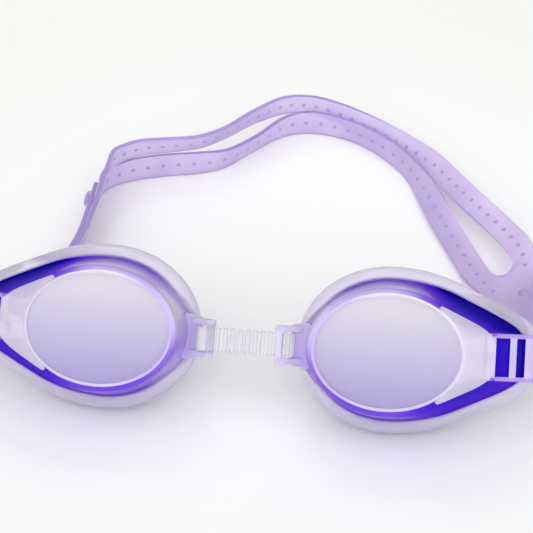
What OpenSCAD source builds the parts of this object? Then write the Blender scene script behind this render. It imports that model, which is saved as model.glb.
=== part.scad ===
// Swimming goggles as they are put down on a table: two tinted eyecups on a ribbed nose
// strip, soft face seals, a split strap folded round the buckles, and a film in each lens.
// Millimetres, Z up, table at Z = 0, lenses facing -Y, wearer's loop towards +Y.

/* [Lens] */
// Width of the flat oval of a lens
lens_w = 38.8; // [35:0.2:42]
// Height of the flat oval of a lens
lens_h = 30; // [27:0.2:32]
// Thickness of a lens
lens_t = 2; // [1.4:0.1:2.6]
// Width of the bevel round the flat oval
bevel_w = 1.1; // [0.7:0.1:1.5]
// Angle at which the side window falls back from the lens
window_angle = 22.8; // [16:0.2:28]
// Height of the side window where it meets the buckle
window_end_h = 12; // [10.5:0.5:13.5]

/* [Eyecup] */
// Depth from the rim to the front of the lens
cup_depth = 15; // [12:0.5:18]
// Height of the rim
rim_h = 38; // [36:0.5:41]
// Length of the rim from the lens centre to its temple end
rim_temple = 36; // [34:0.5:38]
// Thickness of the rim
rim_t = 1.6; // [1.2:0.1:2]
// Width of the rim's step outside the wall
rim_step = 1.1; // [0.7:0.1:1.5]
// Thickness of the cup's wall
wall_t = 1.8; // [1.2:0.1:2.2]
// How far the rim curves back at the temple
rim_bow = 4; // [2:0.5:6]

/* [Buckle] */
// Thickness of the buckle's plate
buckle_t = 3; // [2.4:0.1:3.4]
// Height of each rail above and below the strap
rail_h = 1.1; // [0.9:0.1:1.4]
// Width of the blind slot next to the window
slot_in_w = 2.4; // [2:0.1:2.8]
// Thickness left at the back of that slot
slot_floor = 1; // [0.7:0.1:1.4]
// Width of the slot that the strap goes through
slot_strap_w = 6.1; // [5.8:0.1:6.6]
// Diameter of the post that the strap folds round
post_d = 2.5; // [2.2:0.1:2.7]

/* [Nose loop and strip] */
// Distance between the two lens centres
lens_spacing = 74.5; // [72:0.5:80]
// Reach of a nose loop from the lens centre
loop_reach = 29.3; // [28.8:0.1:29.8]
// Width of the bar at the end of a nose loop
loop_bar_w = 1.8; // [1.4:0.1:2]
// Width of the slot behind that bar
loop_slot_w = 2.2; // [2:0.1:2.4]
// Thickness of the loop's bar and plate
loop_t = 1.6; // [1.3:0.1:1.8]
// Width of the nose strip across its ribs
strip_w = 6.4; // [5.4:0.2:6.6]
// Thickness of the nose strip across its ribs
strip_t = 1.3; // [1.1:0.1:1.4]
// Distance from rib to rib, which is also one step of the nose width
rib_pitch = 1.9; // [1.7:0.1:2.2]

/* [Face seal] */
// How far the seal stands out past the rim
seal_out = 2.8; // [2.2:0.1:3.4]
// How far the seal reaches back behind the rim
seal_back = 7.8; // [6.5:0.1:9]
// Width of the seal's soft lip, from its outline to the eye opening
seal_lip = 5; // [4:0.1:5.4]
// Gap between the seal's groove and the rim
seal_gap = 0.1; // [0.05:0.05:0.2]

/* [Strap] */
// How far the strap lies back behind the cups
strap_depth = 128; // [115:1:140]
// Thickness of the strap
strap_t = 1.2; // [1:0.1:1.5]
// Width of each of the two arms
arm_w = 7.5; // [6.5:0.1:8]
// Width of the slot between the arms near its round ends
strap_slot_w = 5; // [4:0.2:5.6]
// Width of the strap where it goes through the buckle
tail_w = 9.2; // [8.4:0.1:9.4]
// Diameter of the hole in each tail
button_hole_d = 3.4; // [3:0.1:3.6]
// Diameter of the peg's stem
peg_d = 2.8; // [2.4:0.1:2.9]
// Diameter of the peg's head
peg_head_d = 5; // [4.4:0.1:5.6]

/* [Film] */
// Thickness of the film behind each lens
film_t = 0.3; // [0.2:0.05:0.4]
// Gap between a film and its lens
film_gap = 0.2; // [0.1:0.05:0.3]

/* [Pose on the table] */
// How far the lenses lean back from upright
lean = 38; // [34:1:42]
// How far each temple end is turned up
cant = 1.6; // [0:0.2:3]

/* [Hidden] */

tint = [0.36, 0.22, 0.85, 0.75];
clear = [0.88, 0.88, 0.92, 0.6];
silicone = [0.80, 0.72, 0.95, 0.9];
frost = [0.83, 0.81, 0.96, 0.9];

sides = 80;             // points in each ring of a cup or seal
corner_power = 14;      // how sharp the temple corners of an outline are
window_start = 15;      // where the side window starts to fall back, from the lens centre
rim_nose_end = 23.2;    // reach of the rim at the nose loop
rim_nose_h = 5.8;       // half height of the rim at the nose loop
rim_nose_axis = 21.5;   // semi-axes of the rim's round part
rim_temple_axis = 30;
rim_temple_h = 6.8;     // half height of the rim at the temple
window_run = 7.8;       // length of the side window past the lens

// Plain vector helpers
function unit(v) = v / norm(v);
function flat(list) = [for (part = list) each part];
function mix3(a, b, t) = a * (1 - t) + b * t;
function reversed(list) = [for (i = [len(list) - 1 : -1 : 0]) list[i]];

// Outline of a cup or seal, as its distance from the lens centre in direction a (degrees,
// 0 at the temple, 180 at the nose): an ellipse that runs out along its tangent to a
// straight end. An end of height 0 leaves the plain ellipse.
function ellipse_r(a, p, q) = p * q / sqrt(pow(q * cos(a), 2) + pow(p * sin(a), 2));
function touch_angle(p, q, ex, eh) =
    atan2(eh / q, ex / p) + acos(1 / norm([ex / p, eh / q]));
function side_r(a, p, q, ex, eh) =
    eh == 0 || atan2(p * sin(a), q * cos(a)) >= touch_angle(p, q, ex, eh) ?
        ellipse_r(a, p, q) :
        let (f = touch_angle(p, q, ex, eh),
             along = 1 / (cos(a) * cos(f) / p + sin(a) * sin(f) / q),
             across = ex / cos(a))
        pow(pow(along, -corner_power) + pow(across, -corner_power), -1 / corner_power);
function outline_r(o, a) =
    let (b = abs(a > 180 ? a - 360 : a))
    b <= 90 ? side_r(b, o[0], o[2], o[3], o[4]) : side_r(180 - b, o[1], o[2], o[5], o[6]);

// Outlines: temple axis, nose axis, half height, then the temple end and the nose end, each
// with its half height
front_end = lens_w / 2 + window_run;
flat_oval = [lens_w / 2, lens_w / 2, lens_h / 2, 0, 0, 0, 0];
front_outline = [lens_w / 2 + bevel_w, lens_w / 2 + bevel_w, lens_h / 2 + bevel_w,
                 front_end, window_end_h / 2, 0, 0];
rim_outline = [rim_temple_axis, rim_nose_axis, rim_h / 2, rim_temple, rim_temple_h,
               rim_nose_end, rim_nose_h];
seal_outline = [rim_temple_axis + 2, rim_nose_end + 1.4, rim_h / 2 + seal_out,
                rim_temple + 3, rim_temple_h + 1.7, 0, 0];

// Directions of the ring points, closer together at both ends
function ring_angle(i) = let (t = 360 * i / sides) t - 0.4 * sin(2 * t) * 90 / PI;
function rim_z(x) = x > 0 ? -rim_bow * pow(x / rim_temple, 2) : -pow(x / rim_nose_end, 2);
function front_z(x) = cup_depth - max(0, x - window_start) * tan(window_angle);

// A ring on outline o, moved inwards by inset; z comes from the rim (back), the front or a plane
function ring(o, inset, from, dz) =
    [for (i = [0 : sides - 1])
        let (a = ring_angle(i), r = outline_r(o, a) - inset, x = r * cos(a))
        [x, r * sin(a), dz + (from == "rim" ? rim_z(x) : from == "front" ? front_z(x) : 0)]];

// A closed skin through a list of rings; caps close the first and last, or the last joins the first
module skin(rings, closed = false) {
    n = len(rings[0]);
    count = len(rings);
    bands = closed ? count : count - 1;
    walls = [for (k = [0 : bands - 1]) for (i = [0 : n - 1])
        let (a = k * n, b = ((k + 1) % count) * n, j = (i + 1) % n)
        each [[a + i, b + i, a + j], [a + j, b + i, b + j]]];
    caps = closed ? [] : [[for (i = [0 : n - 1]) i],
                          [for (i = [n - 1 : -1 : 0]) (count - 1) * n + i]];
    polyhedron(points = flat(rings), faces = concat(walls, caps), convexity = 8);
}

// The cup as one skin: inside from the lens to the rim, then outside from the rim to the lens
wall_inset = rim_step + wall_t;
cup_inside = [
    ring(flat_oval, 0.6, "plane", cup_depth - lens_t),
    ring(front_outline, wall_t - 0.4, "front", -lens_t - 1),
    ring(rim_outline, wall_inset, "rim", rim_t + 0.4),
    ring(rim_outline, wall_inset, "rim", 0)];
cup_outside = [
    ring(rim_outline, 0, "rim", 0),
    ring(rim_outline, 0, "rim", rim_t),
    ring(rim_outline, rim_step, "rim", rim_t + 0.4),
    ring(front_outline, -0.2, "front", -1.2),
    ring(front_outline, 0.2, "front", -0.4),
    ring(flat_oval, 0, "plane", cup_depth)];

module cup_shell() {
    skin(concat(cup_inside, cup_outside));
}

// Nose loop: a plate at the wall, two rising rails and a raised bar, so that the flat strip
// goes behind the bar and in front of the plate
strip_play = 0.25;
plate_z = 2;
bar_z = plate_z + loop_t + strip_t + 2 * strip_play + 0.2;
slot_nose_end = loop_reach - loop_bar_w;
slot_cup_end = slot_nose_end - loop_slot_w;
loop_slot_h = strip_w + 0.4;
loop_tip_h = loop_slot_h + 3.4;
loop_root_h = loop_tip_h + 2;

module nose_loop() {
    translate([0, 0, plate_z])
        linear_extrude(loop_t)
            polygon([[-rim_nose_end + 2.6, loop_root_h / 2], [-slot_cup_end, loop_root_h / 2 - 0.7],
                     [-slot_cup_end, -loop_root_h / 2 + 0.7], [-rim_nose_end + 2.6, -loop_root_h / 2]]);
    for (s = [-1, 1])
        translate([0, s * (loop_slot_h + loop_tip_h) / 4, 0])
            rotate([90, 0, 0])
                linear_extrude((loop_tip_h - loop_slot_h) / 2, center = true)
                    polygon([[-rim_nose_end + 1, plate_z], [-slot_cup_end, plate_z],
                             [-loop_reach, bar_z], [-loop_reach, bar_z + loop_t],
                             [-slot_nose_end + 0.3, bar_z + loop_t],
                             [-slot_cup_end + 1.4, plate_z + loop_t],
                             [-rim_nose_end + 1, plate_z + loop_t]]);
    translate([-loop_reach, -loop_tip_h / 2, bar_z])
        cube([loop_bar_w, loop_tip_h, loop_t]);
}

// Buckle: a plate that goes on from the side window, with a shallow groove, a blind slot, a
// cross bar, and the slot and round post for the strap
block_l = 5.9;
bar_l = 2.4;
slot_strap_l = block_l + slot_in_w + bar_l;
post_l = slot_strap_l + slot_strap_w + post_d / 2;
buckle_h = window_end_h;
buckle_slot_h = buckle_h - 2 * rail_h;
window_z = front_z(front_end) - 0.5;
groove_from = 0.6;
groove_l = 3.3;
groove_deep = 1;

module buckle() {
    translate([front_end, 0, window_z])
        rotate([0, window_angle, 0]) {
            difference() {
                translate([0, 0, -buckle_t])
                    linear_extrude(buckle_t)
                        polygon([[-2.4, 0.9 - buckle_h / 2], [0, -buckle_h / 2], [post_l, -buckle_h / 2],
                                 [post_l, buckle_h / 2], [0, buckle_h / 2], [-2.4, buckle_h / 2 - 0.9]]);
                translate([groove_from, -buckle_slot_h / 2, -groove_deep])
                    cube([groove_l, buckle_slot_h, groove_deep + 1]);
                translate([block_l, -buckle_slot_h / 2, slot_floor - buckle_t])
                    cube([slot_in_w, buckle_slot_h, buckle_t]);
                translate([slot_strap_l, -buckle_slot_h / 2, -buckle_t - 1])
                    cube([post_l, buckle_slot_h, buckle_t + 2]);
            }
            for (s = [-1, 1])
                translate([post_l, s * (buckle_h - rail_h) / 2, -buckle_t / 2])
                    rotate([90, 0, 0])
                        cylinder(d = buckle_t, h = rail_h, center = true, $fn = 48);
            translate([post_l, 0, -buckle_t / 2])
                rotate([90, 0, 0])
                    cylinder(d = post_d, h = buckle_h - rail_h, center = true, $fn = 48);
        }
}

module eyecup() {
    cup_shell();
    nose_loop();
    buckle();
}

// Face seal: one closed section carried round the rim, with a groove that holds the rim
seal_rings = [
    ring(rim_outline, -1.2, "rim", rim_t + 0.6),
    ring(seal_outline, 0.5, "rim", 0.5),
    ring(seal_outline, 0, "rim", -0.8),
    ring(seal_outline, 0.5, "rim", -seal_back * 0.7),
    ring(seal_outline, 1.7, "rim", -seal_back * 0.95),
    ring(seal_outline, seal_lip * 0.6, "rim", -seal_back),
    ring(seal_outline, seal_lip * 0.92, "rim", -seal_back * 0.88),
    ring(seal_outline, seal_lip, "rim", -seal_back * 0.6),
    ring(rim_outline, wall_inset + 0.2, "rim", -1.2),
    ring(rim_outline, wall_inset, "rim", -seal_gap),
    ring(rim_outline, -seal_gap, "rim", -seal_gap),
    ring(rim_outline, -seal_gap, "rim", rim_t + seal_gap),
    ring(rim_outline, rim_step * 0.5, "rim", rim_t + 0.2 + seal_gap),
    ring(rim_outline, rim_step * 0.4, "rim", rim_t + 0.9)];

module gasket() {
    skin(reversed(seal_rings), closed = true);
}

module film() {
    inset = 1.0;
    translate([0, 0, cup_depth - lens_t - film_gap - film_t])
        linear_extrude(film_t)
            polygon([for (i = [0 : sides - 1]) let (a = ring_angle(i), r = outline_r(flat_oval, a) - inset)
                     [r * cos(a), r * sin(a)]]);
}

// Where a cup's own point lies on the table: side is -1 for the left cup, 1 for the right
function frame_point(p) = [p[0], p[1] * sin(lean) - p[2] * cos(lean), p[1] * cos(lean) + p[2] * sin(lean)];
function cup_point(side, p) =
    frame_point([side * (lens_spacing / 2 + p[0] * cos(cant) - p[1] * sin(cant)),
                 p[0] * sin(cant) + p[1] * cos(cant), p[2]]);
function lowest(list) = min([for (p = list) p[2]]);
stand_z = -lowest([for (r = seal_rings) for (p = r) cup_point(1, p)]);

module place_cup(side) {
    translate([0, 0, stand_z])
        rotate([90 - lean, 0, 0])
            mirror([side < 0 ? 1 : 0, 0, 0])
                translate([lens_spacing / 2, 0, 0])
                    rotate([0, 0, cant])
                        children();
}

// Nose strip, drawn in the goggles' own frame: its left end hooks over the left bar, and its
// right end runs behind the right bar and in front of that loop's plate
strip_core_t = strip_t - 0.4;
strip_front_z = bar_z + loop_t + 0.2 + strip_t / 2;
strip_back_z = plate_z + loop_t + strip_play + 0.1 + strip_t / 2;
loop_bar_x = lens_spacing / 2 - loop_reach;
slot_far_x = lens_spacing / 2 - slot_cup_end;
strip_end_x = slot_far_x + 0.9;
strip_head_x = -slot_far_x - 0.4;
strip_y = -sin(cant) * (loop_reach - loop_bar_w);
strip_span = 2 * loop_bar_x;     // free length between the two bars
strip_flat = strip_span * 0.15;  // flat part next to the right bar
strip_bend = strip_span * 0.2;   // length of each bend
strip_bend_z = 0.6;              // how far a bend rises or falls
strip_line = [[strip_head_x, strip_front_z], [-loop_bar_x, strip_front_z],
              [-loop_bar_x + strip_bend, strip_front_z - strip_bend_z],
              [loop_bar_x - strip_flat - strip_bend, strip_back_z + strip_bend_z],
              [loop_bar_x - strip_flat, strip_back_z], [strip_end_x, strip_back_z]];

// Point and slope of the strip's middle line at x
function strip_leg(x) =
    max([for (i = [0 : len(strip_line) - 2]) x >= strip_line[i][0] ? i : 0]);
function strip_at(x) =
    let (i = strip_leg(x), a = strip_line[i], b = strip_line[i + 1])
    a[1] + (b[1] - a[1]) * (x - a[0]) / (b[0] - a[0]);
function strip_slope(x) =
    let (i = strip_leg(x), a = strip_line[i], b = strip_line[i + 1]) atan2(b[1] - a[1], b[0] - a[0]);

rib_first = -loop_bar_x + 1;
rib_last = strip_end_x - 0.6;
tongue_w = loop_slot_w - 0.7;

module nose_strip() {
    rotate([90, 0, 0])
        linear_extrude(strip_w - 0.6, center = true)
            polygon(concat([for (p = strip_line) p + [0, strip_core_t / 2]],
                           [for (p = reversed(strip_line)) p - [0, strip_core_t / 2]]));
    for (x = [rib_first : rib_pitch : rib_last])
        translate([x, 0, strip_at(x)])
            rotate([0, -strip_slope(x), 0])
                cube([rib_pitch * 0.45, strip_w, strip_t], center = true);
    // head, tongue and lip of the hook on the left bar
    translate([strip_head_x, -strip_w / 2, strip_front_z - strip_t / 2])
        cube([-loop_bar_x - 0.2 - strip_head_x, strip_w, strip_t]);
    translate([-slot_far_x + 0.35, -strip_w / 2 + 0.3, bar_z - 1.5])
        cube([tongue_w, strip_w - 0.6, strip_front_z - bar_z + 1.5]);
    translate([-slot_far_x + 0.35, -strip_w / 2 + 0.3, bar_z - 1.5])
        cube([tongue_w + loop_bar_w * 0.8, strip_w - 0.6, 1.2]);
}

module place_strip() {
    translate([0, 0, stand_z])
        rotate([90 - lean, 0, 0])
            translate([0, strip_y, 0])
                children();
}

// Strap route, chosen by hand. Band rows: middle point, the way its width points, half width.
half_y = arm_w + 0.1;
half_tail = tail_w / 2;
route_depth = 128;      // the depth and post distance at which the rows below were chosen
route_post_x = 80.5;
left_band = [
    [[-78.3, 7.6, 16], [0, 58, 81], half_tail],
    [[-75.6, 14.8, 12], [2, 42, 91], half_tail],
    [[-69.6, 21.4, 9.3], [8, 22, 97], half_tail],
    [[-63, 29, 8], [14, 8, 98], half_tail + 0.4],
    [[-58.4, 38.5, 7.4], [22, 0, 97], half_tail + 1.2],
    [[-56.7, 49.5, 7.3], [28, 0, 96], half_tail + 2],
    [[-56.6, 61, 7.4], [30, 0, 95], half_y - 0.6],
    [[-56.8, 72.5, 7.4], [30, 0, 95], half_y - 0.1],
    [[-56.7, 81, 7.4], [30, 0, 95], half_y]];
// Arm rows: middle and width direction of the lower arm, then of the upper arm
arms = [
    [[-57.8, 87, 3.9], [11, 0, 99], [-54.9, 87.5, 12.2], [28, 3, 96]],
    [[-54.7, 91.6, 3.9], [3, -1, 100], [-51.9, 92.1, 12.2], [19, -24, 95]],
    [[-48.9, 95.6, 4], [-2, 7, 100], [-46.7, 96.2, 12], [4, -36, 93]],
    [[-39.8, 99, 4], [3, 10, 99], [-38.1, 98.7, 12], [0, -43, 90]],
    [[-30.3, 101.3, 4.1], [13, 8, 99], [-29.5, 101.4, 12.1], [1, -51, 86]],
    [[-21.9, 104.9, 4], [28, -2, 96], [-22, 107.4, 12.3], [8, -54, 84]],
    [[-14.2, 114.3, 3.8], [35, -6, 93], [-14.2, 117.3, 12.4], [0, -48, 88]],
    [[-6.1, 124.9, 4.1], [19, 6, 98], [-5.1, 126.4, 11.8], [-14, -30, 94]],
    [[2.4, 129, 4.1], [0, 12, 99], [3.9, 130.9, 9.6], [-18, -15, 97]],
    [[12.2, 127.5, 4.1], [-9, 5, 99], [12.7, 130, 7.6], [-6, 5, 100]],
    [[21.5, 122.5, 4.4], [-6, 2, 100], [22, 125.4, 6.5], [16, 27, 95]],
    [[30.7, 114.9, 4.1], [11, 8, 99], [32.7, 118.3, 5.7], [35, 43, 83]],
    [[37.7, 106, 3.8], [33, 6, 94], [43.2, 108.5, 5.9], [51, 42, 75]],
    [[42.9, 95.6, 3.4], [69, 13, 71], [50.1, 98.5, 6.1], [64, 53, 55]],
    [[46.7, 86.4, 2.6], [87, 24, 43], [55.9, 89.2, 6.7], [73, 51, 44]],
    [[50.8, 76.8, 2.3], [88, 35, 31], [60.7, 82.7, 6.7], [77, 50, 39]],
    [[55.4, 66.4, 2.2], [87, 41, 27], [66.1, 74.6, 7], [78, 47, 41]],
    [[59.4, 57.4, 2.4], [83, 48, 27], [71.9, 64, 7.8], [78, 41, 48]]];
right_band = [
    [[69.8, 50.2, 5], [76, 59, 30], half_y + 0.7],
    [[72.8, 45.4, 6.4], [74, 57, 38], half_y],
    [[78.6, 38, 7.8], [66, 54, 52], half_tail + 2],
    [[85, 31, 9.6], [50, 54, 68], half_tail + 0.9],
    [[90.8, 22.5, 12.4], [32, 52, 78], half_tail + 0.3],
    [[94.2, 13.5, 15.4], [12, 40, 90], half_tail],
    [[92.6, 6, 18.4], [0, 46, 88], half_tail],
    [[87, 2.4, 20.2], [0, 60, 80], half_tail]];

// The fold round a post: its middle, and the ways its axis, front and temple side point
fold_r = post_d / 2 + 0.3 + strap_t / 2;
post_x = front_end + post_l * cos(window_angle) - buckle_t / 2 * sin(window_angle);
post_z = window_z - post_l * sin(window_angle) - buckle_t / 2 * cos(window_angle);
function post_at(side) = cup_point(side, [post_x, 0, post_z]) + [0, 0, stand_z];
function cup_way(side, p) = cup_point(side, p) - cup_point(side, [0, 0, 0]);

// A row of four edge points across the strap: outer edge, both sides of the slot, outer edge
function routed(p) = [p[0] * post_at(1)[0] / route_post_x, p[1] * strap_depth / route_depth, p[2]];
function across_row(c, w, half) =
    let (g = strap_slot_w / 2) [c - w * half, c - w * g, c + w * g, c + w * half];
function band_row(row) = across_row(routed(row[0]), unit(row[1]), row[2]);
function arm_row(row) =
    let (a = unit(row[1]) * arm_w / 2, b = unit(row[3]) * arm_w / 2,
         low = routed(row[0]), high = routed(row[2]))
    [low - a, low + a, high - b, high + b];
function post_row(side, around) =
    across_row(post_at(side) + fold_r * (cos(around) * cup_way(side, [1, 0, 0])
                                         + sin(around) * cup_way(side, [0, 0, 1])),
               cup_way(side, [0, 1, 0]), half_tail);

main_rows = concat([post_row(-1, 180)], [for (r = left_band) band_row(r)],
                   [for (r = arms) arm_row(r)],
                   [for (r = right_band) band_row(r)], [post_row(1, -90)]);
last_row = len(main_rows) - 1;
left_y = len(left_band) + 0.35;
right_y = last_row - len(right_band) - 0.5;

// Smooth curve through the rows; u counts rows
function row_at(i) = i < 0 ? main_rows[0] * 2 - main_rows[1] :
                     i > last_row ? main_rows[last_row] * 2 - main_rows[last_row - 1] : main_rows[i];
function curve(u) =
    let (i = min(floor(u), last_row - 1), t = u - i,
         a = row_at(i - 1), b = row_at(i), c = row_at(i + 1), d = row_at(i + 2))
    0.5 * (2 * b + (c - a) * t + (2 * a - 5 * b + 4 * c - d) * t * t
           + (3 * b - a - 3 * c + d) * t * t * t);

// Opening of a slot or hole at u, between its two round ends: 0 closed, 1 fully open
function round_end(t) = t <= 0 ? 0 : t >= 1 ? 1 : sqrt(1 - pow(1 - t, 2));
function open_at(u, from, to, reach) = min(round_end((u - from) / reach), round_end((to - u) / reach));
shut = 0.06;

// A station: four edge points, the two normals, and whether the middle cell is solid
function station(edges, forward, openness, gap) =
    let (middle = (edges[1] + edges[2]) / 2,
         k = max(shut, openness),
         low = mix3(middle, edges[1], k * gap), high = mix3(middle, edges[2], k * gap),
         n_low = unit(cross(forward, edges[1] - edges[0])),
         n_high = unit(cross(forward, edges[3] - edges[2])))
    [[edges[0], low, high, edges[3]], [n_low, n_low, n_high, n_high], openness > 0.001 ? 1 : 0];

slot_reach = 0.3;
end_steps = [0.02, 0.12, 0.3, 0.6, 1];
main_us = concat([for (u = [0 : 0.5 : 1.5]) u], [for (u = [2 : 1 / 3 : left_y - 0.2]) u],
                 [for (s = end_steps) left_y + s * slot_reach],
                 [for (u = [len(left_band) + 1 : 1 / 3 : right_y - slot_reach - 0.1]) u],
                 [for (s = reversed(end_steps)) right_y - s * slot_reach],
                 [for (u = [last_row - len(right_band) + 0.1 : 1 / 3 : last_row - 0.1]) u], [last_row]);
function main_station(u) =
    station(curve(u), middle_of(curve(u + 0.02)) - middle_of(curve(u - 0.02)),
            open_at(u, left_y, right_y, slot_reach), 1);
function middle_of(row) = (row[0] + row[1] + row[2] + row[3]) / 4;

// Tail: the same route as the band, moved outwards by one thickness and a small gap, and
// wider apart at the post
layer_gap = 0.25;
layer = strap_t + layer_gap;
left_peg = 8;
right_peg = last_row - 7;
hole_reach = 0.21;
tail_past = 0.34;
function spread(d) = layer + (2 * fold_r - layer) * pow(max(0, 1 - d / 2.2), 2);
function tail_station(u, d, hole) =
    let (c = curve(u), f = middle_of(curve(u + 0.02)) - middle_of(curve(u - 0.02)),
         out = -unit(cross(f, c[3] - c[0])), w = unit(c[3] - c[0]),
         m = middle_of(c) + out * spread(d), g = button_hole_d / 2)
    station([m - w * half_tail, m - w * g, m + w * g, m + w * half_tail], -f, hole, 1);
hole_steps = [-0.98, -0.85, -0.5, 0, 0.5, 0.85, 0.98];
function hole_at(s) = sqrt(1 - s * s);
left_tail = concat(
    [for (u = [0.4 : 0.5 : left_peg - hole_reach - 0.4]) tail_station(u, u, 0)],
    [for (s = hole_steps) tail_station(left_peg + s * hole_reach, left_peg, hole_at(s))],
    [tail_station(left_peg + hole_reach + 0.1, left_peg, 0),
     tail_station(left_peg + tail_past, left_peg, 0)]);
right_tail = concat(
    [for (u = [0.4 : 0.5 : last_row - right_peg - hole_reach - 0.4])
        tail_station(last_row - u, u, 0)],
    [for (s = hole_steps) tail_station(right_peg - s * hole_reach, last_row - right_peg, hole_at(s))],
    [tail_station(right_peg - hole_reach - 0.1, last_row - right_peg, 0),
     tail_station(right_peg - tail_past, last_row - right_peg, 0)]);

// Stations of a fold: from one side of the post to the other
function fold_station(side, around, turn) =
    station(post_row(side, around),
            turn * (-sin(around) * cup_way(side, [1, 0, 0]) + cos(around) * cup_way(side, [0, 0, 1])), 0, 1);

strap_stations = concat(
    reversed(left_tail),
    [for (a = [0 : 30 : 150]) fold_station(-1, a, 1)],
    [for (u = main_us) main_station(u)],
    [for (a = [-120 : -30 : -270]) fold_station(1, a, -1)],
    right_tail);

// The strap's skin: eight points a station, the middle cell left out where the slot or a hole is
module ribbon(st) {
    n = len(st);
    h = strap_t / 2;
    points = [for (s = st) for (side = [-1, 1]) for (k = [0 : 3]) s[0][k] + s[1][k] * h * side];
    function cell(i, k, up) =
        let (a = 8 * i + k + (up ? 0 : 4), b = a + 8)
        up ? [[a, b, a + 1], [a + 1, b, b + 1]] : [[a, a + 1, b], [a + 1, b + 1, b]];
    function wall(i, k, flip) =
        let (a = 8 * i + k, b = a + 8)
        flip ? [[a, a + 4, b], [b, a + 4, b + 4]] : [[a, b, a + 4], [b, b + 4, a + 4]];
    function across(i, k, flip) =
        let (a = 8 * i + k)
        flip ? [[a, a + 1, a + 4], [a + 1, a + 5, a + 4]] : [[a, a + 4, a + 1], [a + 1, a + 4, a + 5]];
    open = [for (i = [0 : n - 2]) st[i][2] + st[i + 1][2] == 2];
    faces = concat(
        [for (i = [0 : n - 2]) for (k = open[i] ? [0, 2] : [0, 1, 2]) for (up = [true, false])
            each cell(i, k, up)],
        [for (i = [0 : n - 2]) each concat(wall(i, 0, true), wall(i, 3, false))],
        [for (i = [0 : n - 2]) each open[i] ? concat(wall(i, 1, false), wall(i, 2, true)) : []],
        [for (i = [1 : n - 2]) each open[i] && !open[i - 1] ? across(i, 1, false) :
                                   !open[i] && open[i - 1] ? across(i, 1, true) : []],
        [for (k = [0 : 2]) each across(0, k, true)],
        [for (k = [0 : 2]) each across(n - 1, k, false)]);
    polyhedron(points = points, faces = faces, convexity = 10);
}

// Mushroom peg on the band, through the hole in the tail
module peg(u) {
    c = curve(u);
    f = middle_of(curve(u + 0.02)) - middle_of(curve(u - 0.02));
    out = -unit(cross(f, c[3] - c[0]));
    stem = strap_t / 2 + layer + strap_t / 2 + 0.3;
    translate(middle_of(c))
        rotate([0, acos(out[2]), atan2(out[1], out[0])]) {
            cylinder(d = peg_d, h = stem + 0.3, $fn = 32);
            translate([0, 0, stem])
                cylinder(d1 = peg_head_d, d2 = peg_head_d * 0.5, h = 1.3, $fn = 32);
            translate([0, 0, -strap_t / 2 - 0.4])
                cylinder(d = peg_d, h = 0.8, $fn = 32);
        }
}

// The origin is under the middle of the whole object
strap_points = [for (s = strap_stations) each s[0]];
cup_points = [for (side = [-1, 1]) for (r = cup_outside) for (p = r) cup_point(side, p)];
middle_x = (min([for (p = strap_points) p[0]]) + max([for (p = strap_points) p[0]])) / 2;
middle_y = (min([for (p = cup_points) p[1]]) + max([for (p = strap_points) p[1]]) + strap_t / 2) / 2;

module on_table() {
    translate([-middle_x, -middle_y, 0])
        children();
}

module left_eyecup() { color(tint) on_table() place_cup(-1) eyecup(); }
module right_eyecup() { color(tint) on_table() place_cup(1) eyecup(); }
module left_gasket() { color(clear) on_table() place_cup(-1) gasket(); }
module right_gasket() { color(clear) on_table() place_cup(1) gasket(); }
module nose_bridge() { color(clear) on_table() place_strip() nose_strip(); }
module left_film() { color(frost) on_table() place_cup(-1) film(); }
module right_film() { color(frost) on_table() place_cup(1) film(); }

module strap() {
    color(silicone)
        on_table() {
            ribbon(strap_stations);
            peg(left_peg);
            peg(right_peg);
        }
}

left_eyecup();
right_eyecup();
left_gasket();
right_gasket();
nose_bridge();
strap();
left_film();
right_film();
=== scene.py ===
# Swimming goggles put down on a white table: tinted cups, clear seals, ribbed nose strip,
# split silicone strap and the films behind the lenses. Works in millimetres until a piece is placed.
import math

import bmesh
import bpy
from mathutils import Matrix, Vector


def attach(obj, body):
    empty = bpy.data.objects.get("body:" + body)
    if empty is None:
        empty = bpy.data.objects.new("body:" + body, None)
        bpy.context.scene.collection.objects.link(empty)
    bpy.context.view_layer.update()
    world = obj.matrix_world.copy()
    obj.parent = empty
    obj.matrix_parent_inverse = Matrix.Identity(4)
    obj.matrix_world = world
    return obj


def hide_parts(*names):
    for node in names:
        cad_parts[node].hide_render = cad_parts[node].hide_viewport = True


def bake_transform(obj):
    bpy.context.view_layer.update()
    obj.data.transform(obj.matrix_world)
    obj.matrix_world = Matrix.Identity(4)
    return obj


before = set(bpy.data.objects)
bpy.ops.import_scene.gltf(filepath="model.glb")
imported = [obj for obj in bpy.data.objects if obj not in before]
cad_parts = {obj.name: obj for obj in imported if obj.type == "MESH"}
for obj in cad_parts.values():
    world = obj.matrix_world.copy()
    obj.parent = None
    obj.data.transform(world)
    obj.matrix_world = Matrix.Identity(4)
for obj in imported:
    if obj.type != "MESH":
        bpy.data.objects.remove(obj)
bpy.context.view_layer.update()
print("frame loaded")

millimetre = 0.001
pose = {
    "lean": 38.0,  # degrees that the lenses lean back
    "cant": 1.6,  # degrees that each temple end is turned up
    "spacing": 74.5,  # between the lens centres
    "standHeight": 20.395,  # of the lens axis over the table
    "shift": (-6.7011, -55.3884, 0.0),  # puts the origin under the middle of the object
}


# angles in degrees, lengths in millimetres
cameraView = {
    "azimuth": 7.35,
    "elevation": 38.15,
    "distance": 480.0,
    "aim": (0.3, 36.3, 16.0),
    "lens": 115.4,
}


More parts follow.
